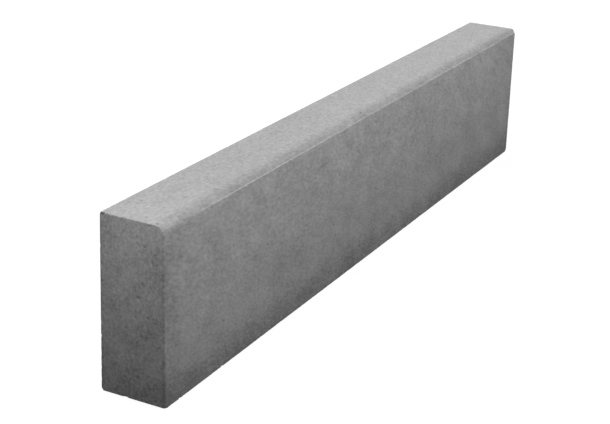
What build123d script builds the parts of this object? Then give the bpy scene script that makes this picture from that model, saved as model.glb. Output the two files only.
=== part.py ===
from build123d import *
import math
import os

# Garden kerb stone of plain grey concrete, pressed in one piece in a steel mould.
# Sizes are in millimetres. X runs along the kerb, its face shows towards -Y and Z is up.
# The origin is the middle of the foot, on the bed that the kerb stands on.

# Overall size
length = 1000.0
foot_width = 80.0
height = 200.0

# Mould draft: how far the face and the back lean in between the foot and the top
face_draft = 3.0
back_draft = 1.0

# Eased arris where the face meets the top. The lid that presses the top has a rounded rim:
# it leaves a curve that runs down from the flat top, and outside it a narrow ledge.
rim_radius = 25.0
rim_drop = 5.5
ledge_width = 1.5

# Radii of the other arrises, worn by stripping and handling
foot_arris = 1.0
back_arris = 1.0
ledge_arris = 0.5
end_arris = 1.0

ledge_height = height - rim_drop
rim_run = math.sqrt(2 * rim_radius * rim_drop - rim_drop**2)


def face_y(z):
    """Where the face stands at height z."""
    return face_draft * z / height - foot_width / 2


def back_y(z):
    """Where the back stands at height z."""
    return foot_width / 2 - back_draft * z / height


def rounded(section, point, radius):
    """The section with the corner at a point rounded off."""
    corner = section.vertices().sort_by_distance(point)[0]
    return fillet(corner, radius)


def kerb_section():
    """The kerb's cross-section, with across the kerb as its x and up as its y."""
    face_foot = (face_y(0), 0)
    back_foot = (back_y(0), 0)
    back_top = (back_y(height), height)
    ledge_outside = (face_y(ledge_height), ledge_height)
    ledge_inside = (ledge_outside[0] + ledge_width, ledge_height)
    rim_start = (ledge_inside[0] + rim_run, height)

    sides = Polyline(ledge_outside, face_foot, back_foot, back_top, rim_start)
    eased_arris = TangentArc(rim_start, ledge_inside, tangent=(-1, 0))
    ledge = Line(ledge_inside, ledge_outside)
    section = make_face(sides + eased_arris + ledge)

    section = rounded(section, face_foot, foot_arris)
    section = rounded(section, back_foot, foot_arris)
    section = rounded(section, back_top, back_arris)
    section = rounded(section, ledge_outside, ledge_arris)
    return section


def kerb_stone():
    """The section drawn out along the kerb, with the outline of both ends rounded off."""
    stone = extrude(Plane.YZ * kerb_section(), amount=length / 2, both=True)
    end_faces = stone.faces().sort_by(Axis.X)
    outlines = end_faces[0].edges() + end_faces[-1].edges()
    return fillet(outlines, end_arris)


os.makedirs("parts", exist_ok=True)
stone = kerb_stone()
stone.label = "kerb_stone"
export_step(stone, "parts/kerb_stone.step")

size = stone.bounding_box().size
print(f"kerb_stone: {size.X:.1f} x {size.Y:.1f} x {size.Z:.1f} mm, {stone.volume / 1e6:.3f} litres")
print(f"flat top: {back_y(height) - face_y(ledge_height) - ledge_width - rim_run:.1f} mm wide")
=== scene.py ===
# %% [markdown]
# # A garden kerb of pressed concrete
#
# The real kerb is one bar of plain grey concrete, a metre long, pressed in a steel mould and stripped while
# it is still green. Its finish is what makes it look real: a fine sandy skin, small open pores, crumbly
# arrises, and a long eased edge that the rounded rim of the press lid leaves.
#
# The lesson builds that skin as one closed mesh, works the wear and the pores into it, and then mixes a
# concrete material for it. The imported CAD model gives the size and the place.

import math

import bpy
import numpy as np
from mathutils import Matrix, Vector
from mathutils.kdtree import KDTree


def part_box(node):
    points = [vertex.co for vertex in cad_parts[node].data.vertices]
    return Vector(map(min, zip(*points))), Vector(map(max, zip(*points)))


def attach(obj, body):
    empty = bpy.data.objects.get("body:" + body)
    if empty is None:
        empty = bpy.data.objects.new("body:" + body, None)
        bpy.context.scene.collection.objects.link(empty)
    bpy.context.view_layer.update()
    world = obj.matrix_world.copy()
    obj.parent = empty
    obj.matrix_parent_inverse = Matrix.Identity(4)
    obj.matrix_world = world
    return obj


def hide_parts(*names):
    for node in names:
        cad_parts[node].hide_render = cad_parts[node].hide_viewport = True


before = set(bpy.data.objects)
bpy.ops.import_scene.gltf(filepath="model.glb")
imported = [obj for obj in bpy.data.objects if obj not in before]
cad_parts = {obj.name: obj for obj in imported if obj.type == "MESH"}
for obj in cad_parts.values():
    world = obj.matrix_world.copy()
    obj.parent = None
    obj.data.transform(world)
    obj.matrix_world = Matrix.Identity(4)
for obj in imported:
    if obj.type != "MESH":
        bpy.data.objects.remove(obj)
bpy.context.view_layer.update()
low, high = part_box("kerb_stone")
print("kerb from", tuple(round(v, 4) for v in low), "to", tuple(round(v, 4) for v in high))

# %% [markdown]
# ## Two helpers
#
# Blender works in metres and in linear light. A mason thinks in millimetres and a paint chart in sRGB hex
# values, so one factor and one function turn the second kind of number into the first.

# %% Millimetres and hex colours
MM = 0.001


def linear(hex_colour):
    """An sRGB hex colour as linear red, green, blue and a solid alpha."""
    levels = [int(hex_colour[i : i + 2], 16) / 255 for i in (1, 3, 5)]
    return [v / 12.92 if v <= 0.04045 else ((v + 0.055) / 1.055) ** 2.4 for v in levels] + [1.0]


# %% [markdown]
# ## The camera
#
# The kerb was photographed from a little above its near end, with a fairly long lens. The place, the aim and
# the slight roll below come from lining up the corners and edges of a kerb of this size with those in the
# picture.

# %% Camera at the photograph's angle
picture_width = 610
focal_pixels = 1417.4
camera_place = Vector((-1577.3, -737.9, 709.9)) * MM
camera_aim = Vector((0.0, 63.8, 33.7)) * MM
camera_roll = math.radians(2.28)

camera_data = bpy.data.cameras.new("camera")
camera_data.sensor_width = 36.0
camera_data.lens = camera_data.sensor_width * focal_pixels / picture_width
camera = bpy.data.objects.new("camera", camera_data)
bpy.context.scene.collection.objects.link(camera)
looking = (camera_aim - camera_place).to_track_quat("-Z", "Y").to_matrix().to_4x4()
camera.matrix_world = Matrix.Translation(camera_place) @ looking @ Matrix.Rotation(camera_roll, 4, "Z")
bpy.context.scene.camera = camera
print(f"lens {camera_data.lens:.1f} mm, aimed from {(camera_aim - camera_place).length:.2f} m away")

# %% [markdown]
# ## The section
#
# A kerb is a section drawn out along a line, so the section comes first. It is walked round once, foot, back,
# top and face, and each corner is rounded by an arc. The top side is the interesting one: from the flat it
# rolls over the arc of the lid's rim and ends in a narrow ledge, where the lid met the mould.
#
# Drawing it in code, rather than with a bevel, keeps the small radii exact and gives every corner enough
# points for wear to be worked into it.

# %% Sizes of the section
length = (high.x - low.x) / MM
height = (high.z - low.z) / MM
foot_width = 80.0
face_draft = 3.0
back_draft = 1.0
rim_radius = 25.0
rim_drop = 5.5
ledge_width = 1.5
foot_arris = 1.0
back_arris = 1.0
ledge_arris = 0.5
end_arris = 1.0

ledge_height = height - rim_drop
rim_run = math.sqrt(2 * rim_radius * rim_drop - rim_drop**2)


def face_y(z):
    """Where the face stands at a height."""
    return face_draft * z / height - foot_width / 2


def back_y(z):
    """Where the back stands at a height."""
    return foot_width / 2 - back_draft * z / height


face_foot = np.array([face_y(0), 0])
back_foot = np.array([back_y(0), 0])
back_top = np.array([back_y(height), height])
ledge_outside = np.array([face_y(ledge_height), ledge_height])
ledge_inside = ledge_outside + [ledge_width, 0]
rim_start = np.array([ledge_inside[0] + rim_run, height])
print(f"section {foot_width:.0f} by {height:.0f} mm, eased arris {rim_run + ledge_width:.1f} mm wide")

# %% Arcs of the section
arc_points = 9
rim_points = 40


def arc_round(before, corner, after, radius):
    """Points of the arc that rounds a corner between two neighbours."""
    to_before = (before - corner) / np.linalg.norm(before - corner)
    to_after = (after - corner) / np.linalg.norm(after - corner)
    half_angle = math.acos(to_before @ to_after) / 2
    middle = (to_before + to_after) / np.linalg.norm(to_before + to_after)
    centre = corner + middle * radius / math.sin(half_angle)
    start = corner + to_before * radius / math.tan(half_angle) - centre
    sideways = np.array([-start[1], start[0]])
    angles = np.linspace(0, math.pi - 2 * half_angle, arc_points)
    return centre + np.outer(np.cos(angles), start) + np.outer(np.sin(angles), sideways)


at_face_foot = arc_round(ledge_outside, face_foot, back_foot, foot_arris)
at_back_foot = arc_round(face_foot, back_foot, back_top, foot_arris)
at_back_top = arc_round(back_foot, back_top, rim_start, back_arris)
at_ledge = arc_round(ledge_inside, ledge_outside, face_foot, ledge_arris)

rim_centre = rim_start - [0, rim_radius]
rim_angles = np.linspace(0, math.acos(1 - rim_drop / rim_radius), rim_points)
rim = rim_centre + rim_radius * np.column_stack([-np.sin(rim_angles), np.cos(rim_angles)])

# %% [markdown]
# The skin is laid out like a gift box: four long sides and two ends, each a grid that shares its border with
# its neighbours. So the walk is cut into four sides at the middle of each corner arc, and opposite sides get
# the same number of points. Points crowd together near the arrises, where the shape turns, and most of all
# across the foot and the top, so that the narrow ledge gets a few points of its own.

# %% Four sides with matching points
middle_of_arc = arc_points // 2
steps_across = 120
steps_up = 210
crowding_across = 0.8
crowding_up = 0.5


def spread(outline, steps, crowding):
    """An outline redrawn in that many steps, which get shorter towards its two ends."""
    distances = np.linalg.norm(np.diff(outline, axis=0), axis=1)
    along = np.concatenate([[0], np.cumsum(distances)])
    even = np.linspace(0, 1, steps + 1)
    wanted = (even - crowding * np.sin(2 * math.pi * even) / (2 * math.pi)) * along[-1]
    return np.column_stack([np.interp(wanted, along, outline[:, axis]) for axis in (0, 1)])


foot_side = np.vstack([at_face_foot[middle_of_arc:], at_back_foot[: middle_of_arc + 1]])
back_side = np.vstack([at_back_foot[middle_of_arc:], at_back_top[: middle_of_arc + 1]])
top_side = np.vstack([at_back_top[middle_of_arc:], rim, at_ledge[: middle_of_arc + 1]])
face_side = np.vstack([at_ledge[middle_of_arc:], at_face_foot[: middle_of_arc + 1]])
foot_side = spread(foot_side, steps_across, crowding_across)
back_side = spread(back_side, steps_up, crowding_up)
top_side = spread(top_side, steps_across, crowding_across)
face_side = spread(face_side, steps_up, crowding_up)
section = np.vstack([side[:-1] for side in (foot_side, back_side, top_side, face_side)])
print(len(section), "points round the section")

# %% [markdown]
# ## Drawing the section out
#
# The section is repeated along the kerb about every millimetre, and every half millimetre close to the ends,
# where wear and chips need more points. Over the last millimetre it also shrinks towards its middle, along a
# quarter circle, which rounds the outline of the end.

# %% Stations along the kerb
station_step = 1.1
fine_step = 0.5
fine_reach = 12.0
steps_round_end = 4

quarter = np.linspace(0, math.pi / 2, steps_round_end + 1)
rounding = end_arris * (1 - np.cos(quarter))
fine = np.arange(end_arris + fine_step, fine_reach, fine_step)
coarse = np.linspace(fine_reach, length / 2, round((length / 2 - fine_reach) / station_step))
from_end = np.concatenate([rounding, fine, coarse])
shrink = np.concatenate([end_arris * (1 - np.sin(quarter)), np.zeros(len(fine) + len(coarse))])

station_x = np.concatenate([from_end - length / 2, (length / 2 - from_end)[-2::-1]])
station_shrink = np.concatenate([shrink, shrink[-2::-1]])
print(len(station_x), "stations along the kerb")

# %% The section, shrunk
half_size = np.array([foot_width / 2, height / 2])
section_middle = np.array([0, height / 2])


def shrunk(inset):
    """The section drawn in towards its middle by about that much all round."""
    return section_middle + (section - section_middle) * (1 - inset / half_size)


rings = np.array([np.column_stack([np.full(len(section), x), shrunk(s)])
                  for x, s in zip(station_x, station_shrink)])

# %% [markdown]
# Right at its two ends the eased arris is fuller than in between. The photograph shows the outline running
# flat nearly to the face there, and then turning down in a short round, as if the lid's rim bit less deep.
# So over the last centimetre and a half the curve is raised towards a quarter circle, all the way at the far
# end and about two thirds of it at the near one.

# %% Fuller at the ends
full_reach = 15.0
fullness_near = 0.65
fullness_far = 1.0
just_above = 0.01

by_near = np.clip(1 - (station_x + length / 2) / full_reach, 0, 1)
by_far = np.clip(1 - (length / 2 - station_x) / full_reach, 0, 1)
fullness = fullness_near * by_near + fullness_far * by_far
from_rim_start = np.clip(rim_start[0] - section[:, 0], 0, rim_run)
curve = np.sqrt(rim_radius**2 - from_rim_start**2) - rim_radius
from_round_start = np.clip(from_rim_start - rim_run + rim_drop, 0, rim_drop)
short_round = np.sqrt(rim_drop**2 - from_round_start**2) - rim_drop
raised = np.where(section[:, 1] > ledge_height + just_above, short_round - curve, 0.0)
rings[:, :, 2] += np.outer(fullness, raised)
print(f"the curve is raised by up to {raised.max():.1f} mm at the far end")

# %% [markdown]
# An end is a grid stretched between four curves. A Coons patch does that: it adds the two ways of going
# straight across, and takes off what they have in common.

# %% Grids for the two ends
ring_size = len(section)
border = np.zeros((steps_up + 1, steps_across + 1), int)
border[0, :] = np.arange(steps_across + 1)
border[:, -1] = steps_across + np.arange(steps_up + 1)
border[-1, :] = steps_across + steps_up + np.arange(steps_across, -1, -1)
border[:, 0] = (2 * steps_across + steps_up + np.arange(steps_up, -1, -1)) % ring_size
share_across = np.linspace(0, 1, steps_across + 1)[None, :, None]
share_up = np.linspace(0, 1, steps_up + 1)[:, None, None]


def stretched(ring):
    """A grid of points inside one ring of the section."""
    edge = ring[border]
    foot, top, face, back = edge[:1], edge[-1:], edge[:, :1], edge[:, -1:]
    upwards = foot * (1 - share_up) + top * share_up
    sideways = face * (1 - share_across) + back * share_across
    low_corners = foot[:, :1] * (1 - share_across) + foot[:, -1:] * share_across
    high_corners = top[:, :1] * (1 - share_across) + top[:, -1:] * share_across
    in_common = low_corners * (1 - share_up) + high_corners * share_up
    return (upwards + sideways - in_common)[1:-1, 1:-1].reshape(-1, 3)


def quads(grid):
    """The four corners of each cell of a grid of point numbers."""
    return np.stack([grid[:-1, :-1], grid[:-1, 1:], grid[1:, 1:], grid[1:, :-1]], axis=-1).reshape(-1, 4)


# %% One closed skin
points = np.concatenate([rings.reshape(-1, 3), stretched(rings[0]), stretched(rings[-1])])
ring_points = len(rings) * ring_size
long_grid = np.arange(ring_points).reshape(-1, ring_size)
long_grid = np.concatenate([long_grid, long_grid[:, :1]], axis=1)
inside_end = (steps_up - 1) * (steps_across - 1)


def end_grid(ring_start, inside_start):
    """Point numbers of an end: a ring of the section and the points stretched inside it."""
    grid = border + ring_start
    grid[1:-1, 1:-1] = inside_start + np.arange(inside_end).reshape(steps_up - 1, steps_across - 1)
    return grid


near_grid = end_grid(0, ring_points)
far_grid = end_grid(ring_points - ring_size, ring_points + inside_end)
faces = np.concatenate([quads(long_grid), quads(near_grid)[:, ::-1], quads(far_grid)])

skin = bpy.data.meshes.new("pressed_kerb")
skin.from_pydata((points * MM).tolist(), [], faces.tolist())
kerb = bpy.data.objects.new("pressed_kerb", skin)
bpy.context.scene.collection.objects.link(kerb)
print(len(points), "points and", len(faces), "faces in the fine skin")

# %% [markdown]
# The sides and the ends share the points of their borders, so the skin holds water. From here on the shape
# is worked point by point, so the points and the directions they face are read into arrays, in millimetres.

# %% Read the skin
def read_points(mesh):
    """Where the points of a mesh are, in mm, as rows of x, y and z."""
    flat = np.empty(len(mesh.vertices) * 3, np.float32)
    mesh.vertices.foreach_get("co", flat)
    return flat.reshape(-1, 3).astype(float) / MM


points = read_points(skin)
facing = np.empty(len(points) * 3, np.float32)
skin.vertex_normals.foreach_get("vector", facing)
facing = facing.reshape(-1, 3).astype(float)
print(len(points), "points read")

# %% [markdown]
# ## Relief
#
# Nothing on a pressed kerb is quite flat. The mould plates are a little wavy, the green concrete slumps a
# little after stripping, and its skin follows the stones and the coarse sand under it. All of that is smooth
# and irregular, which is what lattice noise gives: random numbers on the corners of a grid of cubes, blended
# in between. The size of the cube is the size of the bumps.
#
# Relief is only ever taken off, never put on, so that the skin stays inside the CAD model's box.

# %% Smooth random heights
lattice_cells = 64
lattice_start = 1000.5


def rough_field(where, cell, seed):
    """Smooth random heights between about -1 and 1 at some places, from cubes of one cell size in mm."""
    lattice = np.random.default_rng(seed).uniform(-1, 1, (lattice_cells,) * 3)
    scaled = where / cell + lattice_start
    whole = np.floor(scaled).astype(int)
    part = scaled - whole
    part = part * part * (3 - 2 * part)
    total = np.zeros(len(where))
    for corner in np.ndindex(2, 2, 2):
        weight = np.prod(np.where(corner, part, 1 - part), axis=1)
        total += weight * lattice[tuple((whole + corner).T % lattice_cells)]
    return total


# %% Wavy plates and uneven skin
# Each row is the size of the bumps and their height, in mm, and a seed
wavy_plates = (110.0, 0.16, 1)
slumps = (17.0, 0.08, 2)
stones_below = (5.0, 0.06, 3)

depth = np.zeros(len(points))
for cell, height_of_bumps, seed in [wavy_plates, slumps, stones_below]:
    depth += height_of_bumps * (1 + rough_field(points, cell, seed)) / 2
print(f"relief up to {depth.max():.2f} mm deep")

# %% [markdown]
# The arrises are the weak places. Sand grains at the edge aren't held on both sides, so they crumble as the
# mould comes off, and at the ends most of all. So each point gets its distance from the nearest arris, and
# wear that fades out over a few millimetres and comes and goes along the edge.

# %% Distance from the nearest arris
inside_end_face = length / 2 - abs(points[:, 0])
inside_of = np.column_stack([
    inside_end_face,
    np.minimum(points[:, 1] - face_y(points[:, 2]), back_y(points[:, 2]) - points[:, 1]),
    np.minimum(points[:, 2], height - points[:, 2]),
])
inside_of.sort(axis=1)
from_ledge = np.hypot(*(points[:, 1:] - ledge_outside).T)
from_arris = np.minimum(inside_of[:, 1], from_ledge)

# %% Worn arrises
wear_reach = 2.5
steady_wear = 0.12
crumb_size = 3.2
crumb_depth = 0.6
crumb_threshold = 0.15
wear_patch = 24.0
more_on_ends = 1.6
less_at_ledge = 0.4

crumbs = np.clip(rough_field(points, crumb_size, 5) - crumb_threshold, 0, 1)
wear = steady_wear * (1 + rough_field(points, wear_patch, 4)) + crumb_depth * crumbs
wear[inside_of[:, 0] == inside_end_face] *= more_on_ends
wear[from_ledge < wear_reach] *= less_at_ledge
depth += np.clip(1 - from_arris / wear_reach, 0, 1) ** 2 * wear

# %% [markdown]
# In the photograph the ledge is sharp along most of the kerb, but at the near end it is rubbed away. Handling
# does that, and it does it by degrees: most at the very end, and nothing a hand's width from it.

# %% Ledge rubbed away at the near end
rubbed_length = 110.0
rubbed_reach = 4.5
rubbed_falloff = 1.5
rub_at_end = 2.2
deepest_rub = 1.6
rub_patch = 14.0
rub_unevenness = 0.5

by_near_end = np.clip(1 - (points[:, 0] + length / 2) / rubbed_length, 0, 1)
uneven = 1 + rub_unevenness * rough_field(points, rub_patch, 7)
rub = np.clip(rub_at_end * by_near_end * uneven, 0, deepest_rub)
depth += np.clip(1 - from_ledge / rubbed_reach, 0, 1) ** rubbed_falloff * rub
points -= facing * depth[:, None]
print(f"relief and wear up to {depth.max():.2f} mm deep")

# %% [markdown]
# ## Pores and chips
#
# Earth-moist concrete traps air against the mould, which leaves small open pores, mostly in the sides and
# ends and few in the top, where the lid slides as it presses. A pore is a shallow bowl with an uneven rim.
#
# A chip is different: something takes a bite out of an arris. It is cut like a melon ball, by pushing every
# point inside a ball out to the ball's surface. The centre of the ball is off the stone, so only the arris
# is reached. A KD tree finds the points near a place without measuring the distance to every one of them.
#
# Both also leave a mark in a list of painted shade, which says from 0 to 1 how much darker a point is
# painted, as shade falls in pores and chips.

# %% A tree to look up points
ragged_size = 1.7

point_tree = KDTree(len(points))
for number, point in enumerate(points):
    point_tree.insert(point, number)
point_tree.balance()
dice = np.random.default_rng(20)
ragged = rough_field(points, ragged_size, 6)


def near(place, reach):
    """Numbers of the points within reach of a place, and how far away they are, in mm."""
    hits = point_tree.find_range(place, reach)
    return np.array([hit[1] for hit in hits], int), np.array([hit[2] for hit in hits])


# %% Open pores
# Radii and depths are in mm. A spread is the shape and the scale of a gamma distribution, which gives many
# small values and a few big ones
pore_count = 1000
smallest_pore = 0.5
pore_spread = (1.6, 0.34)
biggest_pore = 1.7
depth_for_radius = 0.55
deepest_pore = 0.9
pore_unevenness = 0.35
pore_reach = 1.4
# How much darker the pores are painted, as shade in them
pore_painted_darkness = 0.32
fully_dark_radius = 1.4
chance_on_top = 0.35

likely = np.where(facing[:, 2] > 0.5, chance_on_top, 1.0)
painted_pit_shade = np.zeros(len(points))
sink = np.zeros(len(points))
for centre in dice.choice(len(points), pore_count, replace=False, p=likely / likely.sum()):
    radius = min(smallest_pore + dice.gamma(*pore_spread), biggest_pore)
    numbers, away = near(points[centre], radius * pore_reach)
    uneven = pore_unevenness * ragged[numbers]
    bowl = np.sqrt(np.clip(1 - (away / radius + uneven) ** 2, 0, 1))
    # Bigger pores are painted darker, as more shade falls in them
    painted_darkness = pore_painted_darkness * min(1.0, radius / fully_dark_radius)
    painted_pit_shade[numbers] = np.maximum(painted_pit_shade[numbers], bowl * painted_darkness)
    sink[numbers] = np.maximum(sink[numbers], bowl * min(deepest_pore, depth_for_radius * radius))
points -= facing * sink[:, None]
print(f"{pore_count} pores, the deepest {sink.max():.1f} mm")

# %% A bite out of the stone
ball_unevenness = 0.15
# How much darker a chip is painted, as shade in it
chip_painted_darkness = 0.08
moved_since = 1.5


def bite(place, radius, painted_darkness=chip_painted_darkness):
    """Pushes the points inside a ball out to its surface, which is made uneven."""
    # The tree holds the points as they were before the pores, so the search reaches further than the ball
    numbers = near(place, radius * (1 + ball_unevenness) + moved_since)[0]
    if len(numbers) == 0:
        return
    outward_from = points[numbers] - place
    away = np.linalg.norm(outward_from, axis=1)
    surface = radius * (1 + ball_unevenness * ragged[numbers])
    reached = away < surface
    numbers, away, surface = numbers[reached], away[reached], surface[reached]
    points[numbers] = place + outward_from[reached] * (surface / away)[:, None]
    # The points of the cut are painted darker, as shade that falls in the chip
    painted_pit_shade[numbers] = np.maximum(painted_pit_shade[numbers], painted_darkness)


# %% Chips in the arrises
long_arrises = [
    (ledge_outside, ledge_arris),
    (back_top, back_arris),
    (face_foot, foot_arris),
    (back_foot, foot_arris),
]
# A sharp edge sticks out past its rounding by this share of the radius
lost_at_edge = math.sqrt(2) - 1
chip_count = 400
smallest_ball = 1.2
ball_spread = (1.5, 0.7)
shallowest_chip = 0.15
depth_spread = (1.2, 0.16)
deepest_chip = 0.8
one_at_an_end_in = 6
shallower_at_ends = 0.6

for chip in range(chip_count):
    radius = smallest_ball + dice.gamma(*ball_spread)
    bite_depth = min(shallowest_chip + dice.gamma(*depth_spread), deepest_chip)
    corner, arris = long_arrises[dice.integers(len(long_arrises))]
    along = dice.uniform(-length / 2, length / 2)
    off = np.array([0, *np.sign(corner - [0, height / 2])])
    if chip % one_at_an_end_in == 0:
        # This one moves to an end, somewhere between two of its corners
        other, arris = long_arrises[dice.integers(len(long_arrises))][0], end_arris
        share = dice.uniform(0, 1)
        corner = corner * share + other * (1 - share)
        along = math.copysign(length / 2, along)
        off[0] = math.copysign(1, along)
        bite_depth *= shallower_at_ends
    off = off / np.linalg.norm(off)
    bite(np.array([along, *corner]) + off * (radius - bite_depth - arris * lost_at_edge), radius)

# %% [markdown]
# The corners take the hardest knocks. The photograph shows dull lower corners, and one small dark chip at the
# near end, where the top meets the back. Two balls cut that one, and they come from the end rather than from
# above, so that they open the end face. The one corner that can't be seen is knocked as mildly as the others.

# %% Knocked corners
# A sharp corner sticks out past its rounding by this share of the radius
lost_at_corner = math.sqrt(3) - 1
near_end, far_end = -length / 2, length / 2

# Each row is a corner, the radius of the ball and the depth of its bite
knocks = [
    ((near_end, *ledge_outside), 5.0, 0.4),
    ((near_end, *face_foot), 7.0, 1.6),
    ((near_end, *back_foot), 7.0, 1.6),
    ((far_end, *back_top), 5.0, 1.5),
    ((far_end, *ledge_outside), 5.0, 0.8),
    ((far_end, *face_foot), 9.0, 2.8),
    ((far_end, *back_foot), 6.0, 1.2),
]
for corner, radius, bite_depth in knocks:
    off = np.sign(np.array(corner) - [0, 0, height / 2]) / math.sqrt(3)
    bite(corner + off * (radius - bite_depth - end_arris * lost_at_corner), radius)

from_the_end = np.array([-1.0, 0.2, 0.5])
off = from_the_end / np.linalg.norm(from_the_end)
for from_back, radius, bite_depth in [(0.0, 5.5, 2.4), (4.0, 4.5, 1.7)]:
    corner = np.array([near_end, back_top[0] - from_back, height])
    # This chip is painted fully dark, as shade falls deep inside it
    bite(corner + off * (radius - bite_depth), radius, painted_darkness=1.0)
print(chip_count, "chips in the arrises and", len(knocks) + 1, "knocked corners")

# %% [markdown]
# ## Fewer triangles
#
# The fine skin has far more triangles than flat concrete needs. A Decimate modifier in collapse mode merges
# points where that changes the shape least, so the flats get large triangles and the arrises, pores and
# chips keep small ones. That looks better for its size than a coarser even grid would.
#
# How much shade is painted on each point goes along as a named attribute, for the material to read later.
# Shading is smooth except over sharp folds, where the ledge meets the face.

# %% Write the shape back and decimate
triangle_limit = 188000
skin.vertices.foreach_set("co", (points * MM).ravel())
# The painted shade of pores and chips rides along on the points
skin.attributes.new("painted_pit_shade", "FLOAT", "POINT").data.foreach_set("value", painted_pit_shade)
skin.update()
fine_triangles = 2 * len(skin.polygons)
decimate = kerb.modifiers.new("fewer_triangles", "DECIMATE")
decimate.ratio = triangle_limit / fine_triangles
decimate.use_collapse_triangulate = True

evaluated = kerb.evaluated_get(bpy.context.evaluated_depsgraph_get())
skin = bpy.data.meshes.new_from_object(evaluated)
kerb.modifiers.clear()
kerb.data = skin

# %% Inside the box, and smooth but for sharp folds
sharp_fold = math.radians(32)
points = np.clip(read_points(skin) * MM, low, high)
skin.vertices.foreach_set("co", points.ravel())
skin.update()
skin.shade_smooth()
skin.set_sharp_from_angle(angle=sharp_fold)
print(len(skin.vertices), "points and", len(skin.polygons), "triangles in the kerb")

# %% [markdown]
# ## Concrete
#
# The material is plain grey concrete, earth-moist and pressed, with no facing layer and no paint. It is
# cement paste on sand, so it is matt all over and mixed at every scale: clouds where the mix was drier or
# wetter, clots of paste round the coarse sand, and the sand itself.
#
# A small function adds a node with its settings and links, so that a line of code reads as one node.

# %% Adding a node
def add(tree, kind, inputs=(), **settings):
    """Adds a node to a tree, sets it up, and fills or links its inputs."""
    node = tree.nodes.new(kind)
    for name, value in settings.items():
        setattr(node, name, value)
    for name, value in dict(inputs).items():
        if isinstance(value, bpy.types.NodeSocket):
            tree.links.new(value, node.inputs[name])
        else:
            node.inputs[name].default_value = value
    return node


concrete = bpy.data.materials.new("pressed_concrete")
concrete.use_nodes = True
mix = concrete.node_tree
mix.nodes.clear()

# %% [markdown]
# Everything in the material is placed in millimetres on the stone, from the object's own coordinates. Three
# masks between 0 and 1 tell where the ends and the top are, and what is above the ledge. Each fades in at an
# arris, between a start and a full value.

# %% Places on the stone
end_start, end_full = length / 2 - 1.4, length / 2 - 0.5
top_start, top_full = ledge_height + 0.5, height - 1.0
ledge_start, ledge_full = ledge_height - 0.7, ledge_height - 0.2

place = add(mix, "ShaderNodeTexCoord").outputs["Object"]
in_mm = add(mix, "ShaderNodeVectorMath", {0: place, "Scale": 1 / MM}, operation="SCALE").outputs[0]
on_axis = add(mix, "ShaderNodeSeparateXYZ", {0: in_mm}).outputs
along, across, up = on_axis["X"], on_axis["Y"], on_axis["Z"]
from_middle = add(mix, "ShaderNodeMath", {0: along}, operation="ABSOLUTE").outputs[0]
on_end = add(mix, "ShaderNodeMapRange", {
    "Value": from_middle, "From Min": end_start, "From Max": end_full,
}).outputs[0]
on_top = add(mix, "ShaderNodeMapRange", {
    "Value": up, "From Min": top_start, "From Max": top_full,
}).outputs[0]
above_ledge = add(mix, "ShaderNodeMapRange", {
    "Value": up, "From Min": ledge_start, "From Max": ledge_full,
}).outputs[0]

# %% [markdown]
# The tone of the concrete is one number, from dark at 0 to pale at 1, that starts in the middle. Each layer
# of noise moves it up and down by its own share, and a colour ramp turns the sum into greys at the end. The
# lid slides as it presses and smears the top, so each layer has a share of its own there.
#
# The sizes are in millimetres. Clouds and patches are as big as the real ones. The sand is really 1 mm and
# finer, which is less than a pixel from here, so it is drawn at 3 mm to be seen at all.
#
# All layers but the clouds are stretched. The mix is filled in from one end and settles in slanting beds, so
# patches, clots and sand lie long and aslant. Streaks are long and upright, where the mould plates slid off.

# %% Beds and streaks
bed_slant = math.radians(19)
bed_stretch = 2.0
streak_stretch = 14.0
laid = add(mix, "ShaderNodeMapping", {
    "Vector": in_mm, "Rotation": (0, bed_slant, 0), "Scale": (bed_stretch, 1, 1),
}, vector_type="TEXTURE").outputs[0]
drawn = add(mix, "ShaderNodeMapping", {
    "Vector": in_mm, "Scale": (1, 1, streak_stretch),
}, vector_type="TEXTURE").outputs[0]

# %% Layers of tone
# Noise hardly ever leaves this range
noise_low, noise_high = 0.3, 0.7

# Each row is the coordinates, the size in mm, the detail, and the share on the sides and on the top
layers = {
    "clouds": (in_mm, 60.0, 2.0, 0.07, 0.025),
    "patches": (laid, 20.0, 1.0, 0.07, 0.03),
    "streaks": (drawn, 7.0, 1.0, 0.02, 0.02),
    "clots": (laid, 7.0, 1.0, 0.04, 0.03),
    "sand": (laid, 3.0, 2.0, 0.145, 0.15),
}
grain = {}
variety = 0.0
for name, (where, size, detail, share, share_on_top) in layers.items():
    noise = add(mix, "ShaderNodeTexNoise", {
        "Vector": where, "Scale": 1 / size, "Detail": detail,
    }, label=name)
    grain[name] = noise.outputs["Fac"]
    swing = add(mix, "ShaderNodeMapRange", {
        "Value": grain[name], "From Min": noise_low, "From Max": noise_high, "To Min": -1.0,
    }, clamp=False).outputs[0]
    amount = add(mix, "ShaderNodeMapRange", {
        "Value": on_top, "To Min": share, "To Max": share_on_top,
    }).outputs[0]
    variety = add(mix, "ShaderNodeMath", {0: swing, 1: amount, 2: variety},
                  operation="MULTIPLY_ADD").outputs[0]
print(len(layers), "layers of tone")

# %% [markdown]
# A few grains stand out, some pale and some dark. A Voronoi texture scatters one point in each cell, so the
# distance to it draws a dot. The cell's own random colour picks which cells have a dot and how big it is.

# %% Grains that stand out
empty_cells = 0.45
dot_edge = 0.8

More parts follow.
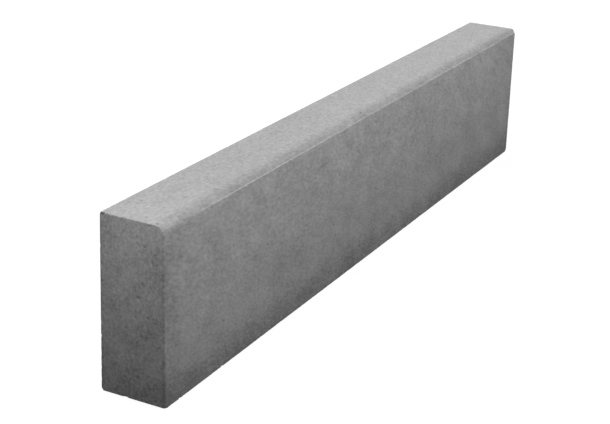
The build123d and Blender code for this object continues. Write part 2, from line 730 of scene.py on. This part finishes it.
# Each row is the size of a cell and the radius of its biggest dot, in mm, and how far it moves the tone
stones = {"pale": (8.0, 1.6, 0.18), "dark": (6.5, 1.9, -0.16)}
for name, (cell, biggest, strength) in stones.items():
    dots = add(mix, "ShaderNodeTexVoronoi", {"Vector": in_mm, "Scale": 1 / cell}, label=name).outputs
    luck = add(mix, "ShaderNodeSeparateColor", {0: dots["Color"]}).outputs[0]
    dot_radius = add(mix, "ShaderNodeMapRange", {
        "Value": luck, "From Min": empty_cells, "To Max": biggest / cell,
    }).outputs[0]
    inside = add(mix, "ShaderNodeMath", {0: dot_radius, 1: dots["Distance"]}, operation="SUBTRACT").outputs[0]
    dot = add(mix, "ShaderNodeMapRange", {
        "Value": inside, "From Max": dot_edge / cell, "To Max": strength,
    }).outputs[0]
    variety = add(mix, "ShaderNodeMath", {0: variety, 1: dot}, operation="ADD").outputs[0]

# %% [markdown]
# The ends are the most open, because nothing slides over them as the kerb is pressed, so they show the mix
# more strongly than the long sides do.

# %% Open ends
more_open = 0.4
middle_tone = 0.5
contrast = add(mix, "ShaderNodeMath", {0: on_end, 1: more_open, 2: 1.0}, operation="MULTIPLY_ADD").outputs[0]
tone = add(mix, "ShaderNodeMath", {0: variety, 1: contrast, 2: middle_tone},
           operation="MULTIPLY_ADD").outputs[0]

# %% [markdown]
# Some places have a tone of their own. The stone is painted darker towards the foot, as shade where the light
# falls off near the floor: strongly over the lowest five centimetres and faintly all the way up. On the ends,
# a narrow strip along each upright arris is darker where paste bled out between the plates, and so are the
# last few centimetres of the long sides below the ledge. The painted shade at the foot is weaker on the ends.
#
# Each is a mask between 0 and 1 that pushes the tone one way, by the share in its row.

# %% Painted shade at the foot, and bled arrises
strip_start, strip_full = 34.5, 38.0
side_end_start, side_end_full = length / 2 - 35, length / 2 - 3
foot_shade_height = 52.0
faint_shade_height = height

off_middle = add(mix, "ShaderNodeMath", {0: across}, operation="ABSOLUTE").outputs[0]
by_arris = add(mix, "ShaderNodeMapRange", {
    "Value": off_middle, "From Min": strip_start, "From Max": strip_full,
}).outputs[0]
by_end = add(mix, "ShaderNodeMapRange", {
    "Value": from_middle, "From Min": side_end_start, "From Max": side_end_full,
}).outputs[0]
off_sides = add(mix, "ShaderNodeMath", {0: on_end, 1: above_ledge}, operation="MAXIMUM").outputs[0]
# The mask of the painted shade at the foot: 1 at the floor, fading to 0 at its height
painted_foot_shade = add(mix, "ShaderNodeMapRange", {
    "Value": up, "From Max": foot_shade_height, "To Min": 1.0, "To Max": 0.0,
}, interpolation_type="SMOOTHSTEP")
places = {
    "bled on ends": (add(mix, "ShaderNodeMath", {0: on_end, 1: by_arris}, operation="MULTIPLY"), -0.2),
    "bled on sides": (add(mix, "ShaderNodeMath", {0: by_end, 1: off_sides},
                          operation="SUBTRACT", use_clamp=True), -0.14),
    # Painted shade, faint, growing from nothing at the top down to the foot
    "fading_painted_shade": (add(mix, "ShaderNodeMapRange", {
        "Value": up, "From Max": faint_shade_height, "To Min": 1.0, "To Max": 0.0,
    }), -0.1),
    # Painted shade, strong over the lowest few centimetres
    "painted_foot_shade": (painted_foot_shade, -0.32),
    # Less of that painted shade at the foot on the ends
    "less foot shade on ends": (add(mix, "ShaderNodeMath", {0: painted_foot_shade.outputs[0], 1: on_end}, operation="MULTIPLY"), 0.2),
}
for mask, change in places.values():
    tone = add(mix, "ShaderNodeMath", {0: mask.outputs[0], 1: change, 2: tone},
               operation="MULTIPLY_ADD").outputs[0]

# %% [markdown]
# The eased arris has painted light and shade across it. A ramp across the arris paints the ledge pale, as a
# highlight where it catches the light, and paints shade just inside it in the groove and a little over the
# curve. Mid grey in the ramp leaves the tone as it is. The curve is also rubbed darker in patches. Where the
# ledge is rubbed away, at the near end, that ramp gives way to a second one, which paints a highlight where
# the ledge was and a little shade along the top of the curve. All of it only counts above the ledge.

# %% Painted highlight and shade across the eased arris
ramp_outside, ramp_inside = -38.0, -16.0
rubbed_to, sharp_from = 20 - length / 2, 130 - length / 2
painted_rim_light_strength = 0.3

across_rim = add(mix, "ShaderNodeMapRange", {
    "Value": across, "From Min": ramp_outside, "From Max": ramp_inside,
}).outputs[0]
# Painted light: a highlight on the ledge, shade in the groove beside it and a little on the curve
painted_ledge_light = add(mix, "ShaderNodeValToRGB", {"Fac": across_rim})
# Painted light where the ledge is rubbed away: a highlight where it was, shade along the curve
painted_light_where_rubbed = add(mix, "ShaderNodeValToRGB", {"Fac": across_rim})
painted_rim_light = add(mix, "ShaderNodeMapRange", {
    "Value": along, "From Min": rubbed_to, "From Max": sharp_from,
    "To Min": painted_light_where_rubbed.outputs["Color"], "To Max": painted_ledge_light.outputs["Color"],
}).outputs[0]
painted_rim_light_and_patches = add(mix, "ShaderNodeMapRange", {
    "Value": painted_rim_light, "To Min": -painted_rim_light_strength, "To Max": painted_rim_light_strength,
}).outputs[0]

# %% Rubbed patches on the curve
rubbed_patch = 14.0
patch_start, patch_full = 0.42, 0.62
rubbed_tone = -0.07
curve_full, curve_end = -31.0, -25.0

rubbing = add(mix, "ShaderNodeTexNoise", {
    "Vector": in_mm, "Scale": 1 / rubbed_patch, "Detail": 3.0,
}, label="rubbing")
rubbed = add(mix, "ShaderNodeMapRange", {
    "Value": rubbing.outputs["Fac"], "From Min": patch_start, "From Max": patch_full,
    "To Min": 0.0, "To Max": rubbed_tone,
}).outputs[0]
over_rim = add(mix, "ShaderNodeMapRange", {
    "Value": across, "From Min": curve_full, "From Max": curve_end, "To Min": 1.0, "To Max": 0.0,
}).outputs[0]
painted_rim_light_and_patches = add(mix, "ShaderNodeMath", {0: rubbed, 1: over_rim, 2: painted_rim_light_and_patches},
               operation="MULTIPLY_ADD").outputs[0]
tone = add(mix, "ShaderNodeMath", {0: painted_rim_light_and_patches, 1: above_ledge, 2: tone},
           operation="MULTIPLY_ADD").outputs[0]

# %% [markdown]
# Now the tone turns into greys. A ramp is a short list of stops, each a position and what it has there:
# painted light across the arris, or a grey of the concrete.

# %% Ramps
concrete_grey = add(mix, "ShaderNodeValToRGB", {"Fac": tone})
ramps = [
    # The first two ramps paint highlight and shade across the eased arris
    (painted_ledge_light, {0.0: 0.80, 0.095: 0.80, 0.12: 0.50, 0.17: 0.56, 0.22: 0.46, 0.33: 0.48, 0.58: 0.5}),
    (painted_light_where_rubbed, {0.0: 0.67, 0.1: 0.74, 0.18: 0.93, 0.22: 0.71, 0.31: 0.62, 0.49: 0.42, 0.6: 0.5, 0.72: 0.56,
                   1.0: 0.53}),
    (concrete_grey, {0.0: "#7c7c7c", 0.5: "#adadad", 1.0: "#d0d0d0"}),
]
for node, stops in ramps:
    elements = node.color_ramp.elements
    while len(elements) < len(stops):
        elements.new(0.5)
    for element, (position, value) in zip(elements, stops.items()):
        element.position = position
        element.color = linear(value) if isinstance(value, str) else (value, value, value, 1)

# %% [markdown]
# The pores and chips are painted darker, as shade that falls into them. So the painted shade attribute dims
# the grey, down to a third of it where the attribute is 1.

# %% Painted shade in pores and chips
darkest_shade = 0.33
# Painted shade in pores and chips darkens the grey
painted_shade_here = add(mix, "ShaderNodeAttribute", attribute_name="painted_pit_shade").outputs["Fac"]
shade = add(mix, "ShaderNodeMapRange", {
    "Value": painted_shade_here, "To Min": 1.0, "To Max": darkest_shade,
}).outputs[0]
paste = add(mix, "ShaderNodeVectorMath", {0: concrete_grey.outputs["Color"], "Scale": shade},
            operation="SCALE").outputs[0]

# %% [markdown]
# Sand too fine for the mesh still catches the light, so the same sand noise also drives a bump. Cement paste
# has an index of refraction of about 1.5, and a surface this open is rough enough that nothing shines.

# %% The surface
sand_height = 0.3
bump_strength = 0.5
paste_roughness = 0.92
paste_ior = 1.5
bumps = add(mix, "ShaderNodeBump", {
    "Height": grain["sand"], "Distance": sand_height * MM, "Strength": bump_strength,
})
surface = add(mix, "ShaderNodeBsdfPrincipled", {
    "Base Color": paste, "Roughness": paste_roughness, "IOR": paste_ior, "Normal": bumps.outputs["Normal"],
})
add(mix, "ShaderNodeOutputMaterial", {"Surface": surface.outputs["BSDF"]})
skin.materials.clear()
skin.materials.append(concrete)
print(len(mix.nodes), "nodes in the concrete")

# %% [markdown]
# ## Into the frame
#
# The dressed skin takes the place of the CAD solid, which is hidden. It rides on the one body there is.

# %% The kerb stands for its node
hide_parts("kerb_stone")
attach(kerb, "root")

# %% [markdown]
# ## Light
#
# The kerb was photographed under broad light from above and behind, with a little light on the two upright
# sides. Three soft boxes do that, over a faint even world. The power of each was found by lighting the kerb
# with one lamp at a time and comparing how bright the top, the face and the end come out.

# %% Soft boxes
def softbox(name, place, aim, size, power):
    """A soft rectangular lamp that the camera doesn't see, aimed at a point."""
    data = bpy.data.lights.new(name, "AREA")
    data.shape = "RECTANGLE"
    data.size, data.size_y = size
    data.energy = power
    lamp = bpy.data.objects.new(name, data)
    lamp.location = place
    lamp.rotation_euler = (Vector(aim) - Vector(place)).to_track_quat("-Z", "Y").to_euler()
    lamp.visible_camera = False
    bpy.context.scene.collection.objects.link(lamp)


softbox("overhead_box", place=(0.8, 3.0, 2.6), aim=(0.0, 0.0, 0.2), size=(2.4, 2.0), power=143)
softbox("face_strip", place=(0.08, -0.64, 0.6), aim=(0.08, 0.0, 0.6), size=(1.9, 0.06), power=6.1)
softbox("end_strip", place=(-0.73, -0.05, 0.33), aim=(0.0, -0.05, 0.33), size=(0.5, 0.06), power=0.41)
print("three soft boxes")

# %% [markdown]
# The background of the photograph is pure white, but white paper this close would throw more light on the
# sides than they get in it. Light Path tells what a ray is for. What the camera sees directly, or in a
# reflection, is white, and the light that bounces off the floor and the world onto the stone stays low.
#
# The paper has some glow of its own, and its shadow comes from a little diffuse on top. Far from the kerb the
# glow reaches full white, so that no horizon shows.

# %% A world that is white to look at
world = bpy.data.worlds.new("studio")
world.use_nodes = True
bpy.context.scene.world = world
studio = world.node_tree
studio.nodes.clear()


def looked_at(tree):
    """Whether a ray is one that looks: from the camera, or by way of a reflection or through glass."""
    path = add(tree, "ShaderNodeLightPath").outputs
    looks = path["Is Camera Ray"]
    for other in ("Is Glossy Ray", "Is Transmission Ray"):
        looks = add(tree, "ShaderNodeMath", {0: looks, 1: path[other]}, operation="MAXIMUM").outputs[0]
    return looks


white = linear("#ffffff")
dim_strength = 0.165
dim = add(studio, "ShaderNodeBackground", {"Color": white, "Strength": dim_strength}).outputs[0]
bright = add(studio, "ShaderNodeBackground", {"Color": white, "Strength": 1.0}).outputs[0]
seen = add(studio, "ShaderNodeMixShader", {0: looked_at(studio), 1: dim, 2: bright}).outputs[0]
add(studio, "ShaderNodeOutputWorld", {"Surface": seen})

# %% White paper floor
floor_half = 8.0
floor_mesh = bpy.data.meshes.new("paper_floor")
corners = [(x * floor_half, y * floor_half, 0) for x, y in [(-1, -1), (1, -1), (1, 1), (-1, 1)]]
floor_mesh.from_pydata(corners, [], [(0, 1, 2, 3)])
floor = bpy.data.objects.new("paper_floor", floor_mesh)
bpy.context.scene.collection.objects.link(floor)

# %% Paper
glow_by_kerb = 0.93
glow_rises_from, full_white_from = 1.0, 4.0
shadow_grey = linear("#6e6e6e")
bounce_grey = linear("#4a4a4a")

paper = bpy.data.materials.new("white_paper")
paper.use_nodes = True
sheet = paper.node_tree
sheet.nodes.clear()
spot = add(sheet, "ShaderNodeTexCoord").outputs["Object"]
from_kerb = add(sheet, "ShaderNodeVectorMath", {0: spot}, operation="LENGTH").outputs["Value"]
glow = add(sheet, "ShaderNodeMapRange", {
    "Value": from_kerb, "From Min": glow_rises_from, "From Max": full_white_from, "To Min": glow_by_kerb,
}).outputs[0]
unlit = add(sheet, "ShaderNodeEmission", {"Color": white, "Strength": glow}).outputs[0]
shadowed = add(sheet, "ShaderNodeBsdfDiffuse", {"Color": shadow_grey}).outputs[0]
pale = add(sheet, "ShaderNodeAddShader", {0: unlit, 1: shadowed}).outputs[0]
low_bounce = add(sheet, "ShaderNodeBsdfDiffuse", {"Color": bounce_grey}).outputs[0]
seen = add(sheet, "ShaderNodeMixShader", {0: looked_at(sheet), 1: low_bounce, 2: pale}).outputs[0]
add(sheet, "ShaderNodeOutputMaterial", {"Surface": seen})
floor_mesh.materials.append(paper)

# %% Standard view transform
bpy.context.scene.view_settings.view_transform = "Standard"
